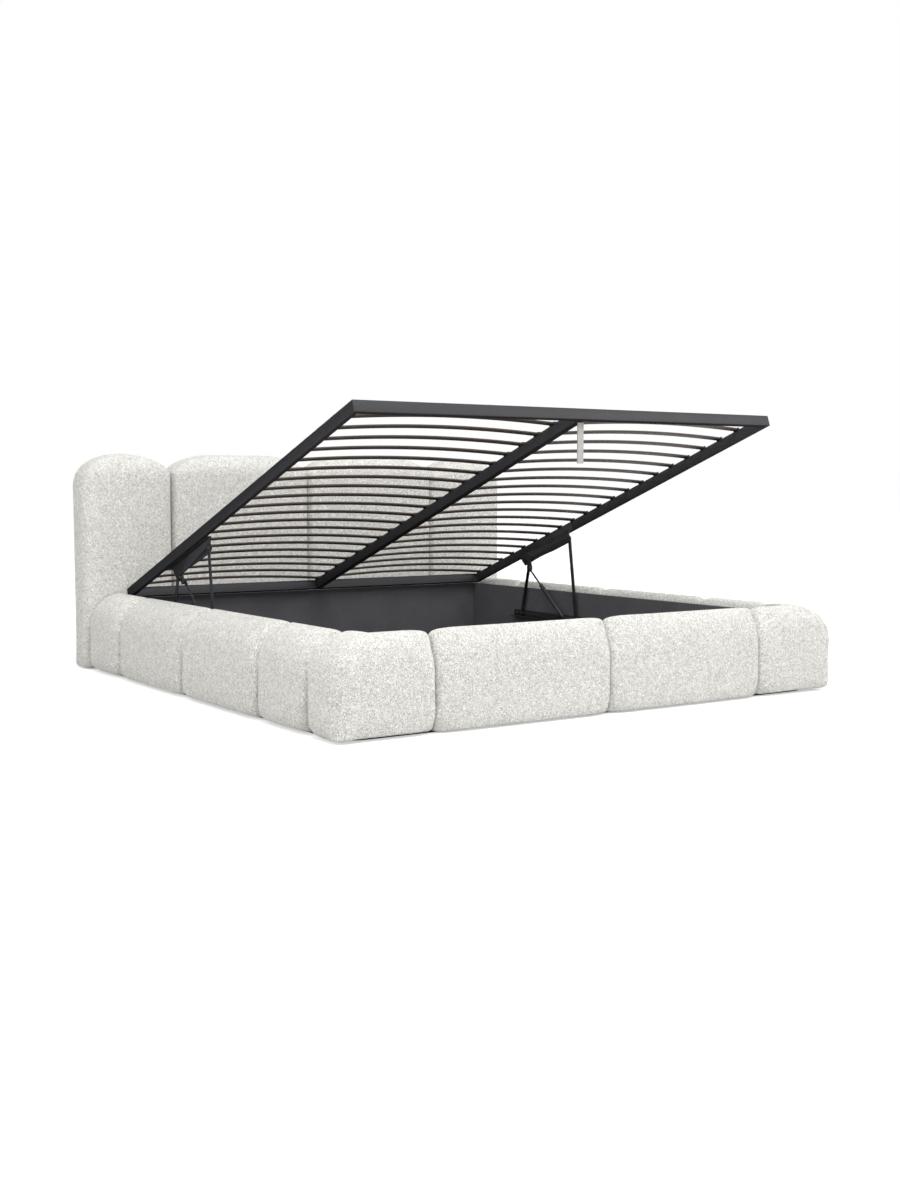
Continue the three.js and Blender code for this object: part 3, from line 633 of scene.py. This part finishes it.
def bead(start, end):
    # A weld bead swells once for each drop of metal, with four points to a drop.
    start, end = Vector(start), Vector(end)
    count = round((end - start).length / bead_ripple) * 4
    curve = bpy.data.curves.new("bead", "CURVE")
    curve.dimensions = "3D"
    curve.bevel_depth = bead_radius
    curve.bevel_resolution = 1
    curve.use_fill_caps = True
    spline = curve.splines.new("POLY")
    spline.points.add(count)
    for i, point in enumerate(spline.points):
        point.co = (*start.lerp(end, i / count), 1)
        point.radius = 0.85 + 0.15 * math.cos(i * math.pi / 2)
    piece = bpy.data.objects.new("bead", curve)
    bpy.context.scene.collection.objects.link(piece)
    only(piece)
    bpy.ops.object.convert(target="MESH")
    return piece


reach = frame_half - joint_gap
side_inner = frame_half - tube_wide
foot_inner = tube_wide - frame_long
frame_tube("tube_foot", (-reach, -frame_long, 0), (reach, foot_inner, tube_high), 0,
           foot_inner, "frame_foot")
frame_tube("tube_head", (-reach, -tube_wide, 0), (reach, 0, tube_high), 0, -tube_wide, "frame_head")
for name, side in [("left", -1), ("right", 1)]:
    edges = sorted([side * frame_half, side * side_inner])
    frame_tube(f"tube_side_{name}", (edges[0], joint_gap - frame_long, 0),
               (edges[1], -joint_gap, tube_high), 1, side * side_inner, f"frame_side_{name}")
frame_tube("tube_beam", (-beam_wide / 2, foot_inner + joint_gap, 0),
           (beam_wide / 2, -tube_wide - joint_gap, tube_high), 1, None, "frame_centre_beam")

low, high = tube_corner, tube_high - tube_corner
beads = []
for side in (-1, 1):
    for x in (side * side_inner, side * beam_wide / 2):
        for y in (-tube_wide, foot_inner):
            beads.append(bead((x, y, low), (x, y, high)))
    beads.append(bead(*((side * side_inner, y, plate_flange) for y in plate_reach)))
welds = join_all(beads, "weld_beads")
raise_with_frame(welds)
finish_piece(welds, "lift_frame", powder_coat, smooth=60)


# Slats: bowed strips of laminated beech, 22 by 6 mm, stained dark brown. Each half row
# springs between a cap on the side tube and the double cap on the beam.
slat_rows = 20
slat_width = 0.022
slat_thick = 0.0062
slat_bow = 0.018
slat_seat = 0.0412
slat_first = 0.038
slat_last = 0.151
slat_inner = 0.0099
slat_outer = 0.8705
slat_round = 0.0014
stain_dark = "#2E2622"
stain_light = "#4B3F38"
grain_width = 0.0022
grain_length = 0.16
pore_height = 0.0002
bow_cuts = 15

# Laminated beech, stained dark brown and lacquered: fine straight grain along the slat
# under a low sheen. The grain is drawn 2.2 mm wide, coarser than real, so that it shows.
stained_beech, tree = new_material("stained_laminated_beech")
place = add_node(tree, "TexCoord").outputs["Object"]
laid = add_node(tree, "Mapping", {"Scale": (1 / grain_length, 1 / grain_width, 1 / grain_width)},
                {"Vector": place})
grain = add_node(tree, "TexNoise",
                 {"Scale": 1.0, "Detail": 5.0, "Roughness": 0.6, "Distortion": 0.6},
                 {"Vector": laid.outputs[0]})
share = add_node(tree, "MapRange", {"From Min": 0.3, "From Max": 0.7},
                 {"Value": grain.outputs["Fac"]})
shade = add_node(tree, "Mix", {"data_type": "RGBA", 6: linear(stain_dark), 7: linear(stain_light)},
                 {0: share.outputs[0]})
bump = add_node(tree, "Bump", {"Strength": 0.2, "Distance": pore_height},
                {"Height": grain.outputs["Fac"]})
wood = add_node(tree, "BsdfPrincipled", {"Roughness": 0.5, "Specular IOR Level": 0.35},
                {"Base Color": shade.outputs[2], "Normal": bump.outputs[0]})
add_node(tree, "OutputMaterial", {}, {"Surface": wood.outputs[0]})

half_slat = block("slat_right_01", (slat_inner, -slat_width / 2, slat_seat),
                  (slat_outer, slat_width / 2, slat_seat + slat_thick))
round_edges(half_slat, slat_round, 2, along(0))
pick_edges(half_slat, along(0))
bpy.ops.mesh.subdivide(number_cuts=bow_cuts)
bpy.ops.object.mode_set(mode="OBJECT")
middle = (slat_inner + slat_outer) / 2
pick_points(half_slat, lambda p: abs(p.x - middle) < 0.001)
bpy.ops.transform.translate(
    value=(0, 0, slat_bow),
    use_proportional_edit=True,
    proportional_edit_falloff="INVERSE_SQUARE",
    proportional_size=(slat_outer - slat_inner) / 2,
    use_proportional_connected=False,
)
bpy.ops.object.mode_set(mode="OBJECT")


# Slat caps: black moulded nylon, each with a pocket for the slat's end and a peg pressed
# through the top of the tube. The cap on the beam has a pocket at both sides.
cap_low = 0.0403
cap_high = 0.0483
cap_half = 0.014
cap_wall = 0.0008
cap_pocket = 0.0046
cap_round = 0.0012
tube_cap = (0.8663, 0.874)
beam_cap = 0.0147
peg_radius = 0.0028
peg_rise = 0.0009
seam_weld = 0.00001
nylon_black = "#161617"

# Injection-moulded nylon: black, with a fine spark-eroded grain that dulls its shine.
nylon = plain_material("moulded_black_nylon", nylon_black,
                       {"Roughness": 0.5, "Specular IOR Level": 0.35}, 1 / 900)


def turned(name, profile, place, direction, steps=32):
    # A profile of radius and height pairs is spun about its axis, then laid along the
    # direction at its place.
    mesh = bpy.data.meshes.new(name)
    lines = [(i, i + 1) for i in range(len(profile) - 1)]
    mesh.from_pydata([(r, 0, h) for r, h in profile], lines, [])
    piece = bpy.data.objects.new(name, mesh)
    bpy.context.scene.collection.objects.link(piece)
    only(piece)
    bpy.ops.object.mode_set(mode="EDIT")
    bpy.ops.mesh.select_all(action="SELECT")
    bpy.ops.mesh.spin(steps=steps, angle=2 * math.pi, center=(0, 0, 0), axis=(0, 0, 1))
    bpy.ops.mesh.select_all(action="SELECT")
    bpy.ops.mesh.remove_doubles(threshold=seam_weld)
    bpy.ops.mesh.normals_make_consistent(inside=False)
    bpy.ops.object.mode_set(mode="OBJECT")
    turn = Vector((0, 0, 1)).rotation_difference(Vector(direction)).to_matrix().to_4x4()
    piece.data.transform(Matrix.Translation(place) @ turn)
    return piece


def pocket(piece, mouth, depth):
    pick_points(piece, lambda p: abs(p.x - mouth) < joint_gap)
    bpy.ops.mesh.inset(thickness=cap_wall)
    bpy.ops.mesh.extrude_region_move(TRANSFORM_OT_translate={"value": (depth, 0, 0)})
    bpy.ops.object.mode_set(mode="OBJECT")


def capped(name, left, right, mouths):
    cap = block(name, (left, -cap_half, cap_low), (right, cap_half, cap_high))
    for mouth in mouths:
        pocket(cap, mouth, cap_pocket if mouth == left else -cap_pocket)
    round_edges(cap, cap_round, 2, lambda a, b: (
        min(a.z, b.z) > cap_high - joint_gap
        or (abs(abs(a.y) - cap_half) < joint_gap and abs(a.z - b.z) > cap_wall)))
    dome = [(0, peg_rise), (peg_radius * 0.6, peg_rise * 0.85), (peg_radius, 0),
            (peg_radius, -cap_wall / 2), (0, -cap_wall / 2)]
    peg = turned("peg", dome, ((left + right) / 2, 0, cap_high), (0, 0, 1), 20)
    return join_all([cap, peg], name)


right_cap = capped("right_cap", tube_cap[0], tube_cap[1], [tube_cap[0]])
left_cap = twin_of(right_cap, "left_cap", True)
middle_cap = capped("middle_cap", -beam_cap, beam_cap, [-beam_cap, beam_cap])
caps = join_all([right_cap, left_cap, middle_cap], "caps_01")
left_slat = twin_of(half_slat, "slat_left_01", True)
slat_pitch = (frame_long - slat_first - slat_last) / (slat_rows - 1)
for row in range(slat_rows):
    number = f"{row + 1:02d}"
    for master, name, material in [(half_slat, "right_slat", stained_beech),
                                   (left_slat, "left_slat", stained_beech),
                                   (caps, "slat_caps", nylon)]:
        piece = twin_of(master, f"{name}_{number}")
        piece.data.transform(Matrix.Translation((0, -slat_first - row * slat_pitch, 0)))
        raise_with_frame(piece)
        replaced = [f"slat_row_{number}"] if master is half_slat else ()
        finish_piece(piece, "lift_frame", material, replaced=replaced)
for master in (half_slat, left_slat, caps):
    bpy.data.objects.remove(master)


# Lift linkage: laser-cut steel plates, arms and brackets with broken edges, in the same
# satin black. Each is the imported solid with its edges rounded.
edge_break = 0.0006
plate_weld = 0.00002
flat_angle = math.radians(1)
sharp_angle = math.radians(50)


def broken_edges(node, body):
    piece = bpy.data.objects.new(node + "_piece", nodes[node].data.copy())
    bpy.context.scene.collection.objects.link(piece)
    only(piece)
    bpy.ops.object.mode_set(mode="EDIT")
    bpy.ops.mesh.select_all(action="SELECT")
    bpy.ops.mesh.remove_doubles(threshold=plate_weld)
    bpy.ops.mesh.dissolve_limited(angle_limit=flat_angle)
    bpy.ops.object.mode_set(mode="OBJECT")
    rounded = piece.modifiers.new("rounded", "BEVEL")
    rounded.width = edge_break
    rounded.segments = 2
    rounded.limit_method = "ANGLE"
    rounded.angle_limit = sharp_angle
    bpy.ops.object.modifier_apply(modifier=rounded.name)
    finish_piece(piece, body, powder_coat, smooth=40, replaced=[node])


for name in ("left", "right"):
    broken_edges(f"lift_plate_{name}", "lift_frame")
    broken_edges(f"rear_arm_{name}", f"rear_arm_{name}")
    broken_edges(f"front_arm_{name}", f"front_arm_{name}")
    broken_edges(f"base_bracket_{name}", "base")


# Rivets and bolts of the linkage: dome-headed steel rivets close the two arm pivots, and
# button-headed bolts hold each bracket to its side board.
rear_pivot = (0.524, 0.1745)
front_pivot = (0.17767, 0.53031)
bolt_places = [(0.575, 0.1745), (0.43, 0.1745), (0.29, 0.1745)]
rear_face = 0.851
front_face = 0.8566
bracket_face = 0.8617
rivet_head = [(0, 0.0032), (0.0045, 0.0028), (0.0078, 0.0015), (0.009, 0), (0, 0)]
bolt_head = [(0, 0.0018), (0.0022, 0.0018), (0.0026, 0.0042), (0.0045, 0.0038), (0.0066, 0.0022),
             (0.0072, 0.0002), (0, 0.0002)]

for name, side in [("left", -1), ("right", 1)]:
    rear = turned(f"rear_rivet_{name}", rivet_head, (side * rear_face, *rear_pivot), (-side, 0, 0))
    finish_piece(rear, "base", powder_coat)
    front = turned(f"front_rivet_{name}", rivet_head, (side * front_face, *front_pivot),
                   (side, 0, 0))
    finish_piece(front, "lift_frame", powder_coat)
    bolts = [turned("bolt", bolt_head, (side * bracket_face, *place), (-side, 0, 0))
             for place in bolt_places]
    finish_piece(join_all(bolts, f"bracket_bolts_{name}"), "base", powder_coat)


# Gas struts: a black steel cylinder with rolled ends and an eye on the bracket's pin, and
# a blackened rod that ends in an eye with its own pin through the lug of the lift plate.
strut_foot = (0.835, 0.185, 0.1745)
strut_line = Vector((0, 0.77340133, 0.63391671))
strut_length = 0.33811
# Turned profiles: radius and height in millimetres.
cylinder_profile = [(0, 9.6), (6, 9.6), (6, 14), (8.2, 15.5), (9, 17), (9, 206), (8.3, 207.5),
                    (8.3, 209.5), (9, 211), (9, 223), (8, 225.2), (6.2, 226), (4.7, 226),
                    (4.7, 114), (0, 114)]
rod_profile = [(0, 170), (3.6, 170), (4, 170.6), (4, 318), (6.2, 319), (6.2, 328.5), (0, 328.5)]
eye_profile = [(6.5, -4), (10.2, -4), (11, -3.2), (11, 3.2), (10.2, 4), (6.5, 4), (6.5, -4)]
pin_profile = [(0, -4.6), (4.4, -4.6), (5, -4), (10.2, -4), (11, -3.2), (11, 3.2), (10.2, 4),
               (5, 4), (5, 5.7), (0, 5.7)]
rod_black = "#202123"
wipe_width = 1 / 60

# Nitrided and polished steel: near black and smooth, with a film of oil in patches
# about 17 mm wide.
black_rod, tree = new_material("blackened_strut_rod")
place = add_node(tree, "TexCoord").outputs["Object"]
wipe = add_node(tree, "TexNoise", {"Scale": 1 / wipe_width, "Detail": 2.0}, {"Vector": place})
rough = add_node(tree, "MapRange", {"To Min": 0.22, "To Max": 0.34}, {"Value": wipe.outputs["Fac"]})
metal = add_node(tree, "BsdfPrincipled", {"Base Color": linear(rod_black), "Metallic": 0.6},
                 {"Roughness": rough.outputs[0]})
add_node(tree, "OutputMaterial", {}, {"Surface": metal.outputs[0]})


def in_metres(profile):
    return [(r / 1000, h / 1000) for r, h in profile]


for name, side in [("left", -1), ("right", 1)]:
    foot = Vector((side * strut_foot[0], *strut_foot[1:]))
    head = foot + strut_line * strut_length
    body = turned("body", in_metres(cylinder_profile), foot, strut_line)
    eye = turned("eye", in_metres(eye_profile), foot, (1, 0, 0))
    node = f"strut_cylinder_{name}"
    cylinder = join_all([body, eye], f"strut_body_{name}")
    finish_piece(cylinder, node, powder_coat, replaced=[node])
    shaft = turned("rod", in_metres(rod_profile), foot, strut_line, 20)
    eye = turned("eye", in_metres(pin_profile), head, (side, 0, 0))
    node = f"strut_rod_{name}"
    rod = join_all([shaft, eye], f"strut_shaft_{name}")
    finish_piece(rod, node, black_rod, replaced=[node])


# Pull strap: a loop of light grey webbing folded flat, sewn to itself near the top with
# a box of stitches; the end of the webbing runs under a steel tab with one screw.
strap_top = Vector((0.006, -0.94074, 0.968987))
strap_half = 0.0125
strap_layer = 0.002
strap_drop = 0.136
strap_end_round = 0.0018
fold_width = 0.0013
fold_depth = 0.0015
tab_length = 0.0245
tab_half = 0.0065
tab_thick = 0.0008
tab_round = 0.003
tab_from_foot = 0.0358
stitch_length = 0.0026
stitch_pitch = 0.0038
stitch_radius = 0.0004
stitch_box = [(-0.009, -0.032), (0.009, -0.032), (0.009, -0.01), (-0.009, -0.01)]
web_light = "#D2D1CD"
# Grey for the painted shade in the gaps of the weave.
web_painted_shade = "#A9A8A4"
rib_pitch = 0.0022
rib_height = 0.0003
band_unit = 0.314
screw_head = [(0, 0.0014), (0.0014, 0.0016), (0.0032, 0.0011), (0.0038, 0), (0, 0)]

# Woven polypropylene webbing: light grey, matt, with a rib for each weft thread. The
# ribs are drawn 2.2 mm apart, coarser than real, so that they show. A band texture of
# scale 1 repeats every 0.314 m.
webbing, tree = new_material("grey_ribbed_webbing")
place = add_node(tree, "TexCoord").outputs["Object"]
ribs = add_node(tree, "TexWave",
                {"wave_type": "BANDS", "bands_direction": "Z", "Scale": band_unit / rib_pitch,
                 "Distortion": 0.5, "Detail": 1.0}, {"Vector": place})
warp = add_node(tree, "TexWave",
                {"wave_type": "BANDS", "bands_direction": "X", "Scale": band_unit / rib_pitch},
                {"Vector": place})
weave = add_node(tree, "Math", {"operation": "MULTIPLY"},
                 {0: ribs.outputs["Fac"], 1: warp.outputs["Fac"]})
# The gaps between the threads, where the weave is low, turn darker: painted shade.
shade = add_node(tree, "Mix", {"data_type": "RGBA", 6: linear(web_painted_shade), 7: linear(web_light)},
                 {0: weave.outputs[0]})
bump = add_node(tree, "Bump", {"Strength": 0.5, "Distance": rib_height},
                {"Height": weave.outputs[0]})
web = add_node(tree, "BsdfPrincipled", {"Roughness": 0.85, "Specular IOR Level": 0.2},
               {"Base Color": shade.outputs[2], "Normal": bump.outputs[0]})
add_node(tree, "OutputMaterial", {}, {"Surface": web.outputs[0]})

strap = block("strap_loop", strap_top + Vector((-strap_half, -strap_layer, -strap_drop)),
              strap_top + Vector((strap_half, strap_layer, strap_layer)))
round_edges(strap, strap_end_round, 4, along(0))
for side in (-1, 1):
    edge = strap_top.x + side * strap_half
    pick_points(strap, lambda p: abs(p.x - edge) < joint_gap / 3)
    bpy.ops.mesh.inset(thickness=fold_width)
    bpy.ops.mesh.extrude_region_move(TRANSFORM_OT_translate={"value": (-side * fold_depth, 0, 0)})
    bpy.ops.object.mode_set(mode="OBJECT")
finish_piece(strap, "pull_strap", webbing, replaced=["pull_strap"])

stitch = block("stitch", (-stitch_radius, -stitch_radius, -stitch_length / 2),
               (stitch_radius, stitch_radius, stitch_length / 2))
round_edges(stitch, stitch_radius * 0.7, 2, lambda a, b: True)
corners = [Vector((x, 0, z)) for x, z in stitch_box]
stitches = []
for first, last in [(0, 1), (1, 2), (2, 3), (3, 0), (0, 2), (1, 3)]:
    start, end = corners[first], corners[last]
    turn = Vector((0, 0, 1)).rotation_difference(end - start).to_matrix().to_4x4()
    count = int((end - start).length / stitch_pitch)
    for i in range(count):
        for face in (-1, 1):
            middle = strap_top + start.lerp(end, (i + 0.5) / count)
            middle.y += face * strap_layer
            stitches.append(twin_of(stitch, "stitch"))
            stitches[-1].data.transform(Matrix.Translation(middle) @ turn)
bpy.data.objects.remove(stitch)
finish_piece(join_all(stitches, "strap_stitches"), "pull_strap", webbing)

tab_start = tab_from_foot - frame_long
tab_face = -joint_gap - tab_thick
tab = block("strap_tab", (strap_top.x - tab_half, tab_start, tab_face),
            (strap_top.x + tab_half, tab_start + tab_length, -joint_gap))
round_edges(tab, tab_round, 3, along(2))
round_edges(tab, tab_thick / 4, 1, lambda a, b: abs(a.z - b.z) < tab_thick / 8)
screw = turned("screw", screw_head, (strap_top.x, tab_start + tab_length * 0.6, tab_face),
               (0, 0, -1), 20)
tab = join_all([tab, screw], "strap_tab")
raise_with_frame(tab)
finish_piece(tab, "lift_frame", powder_coat)
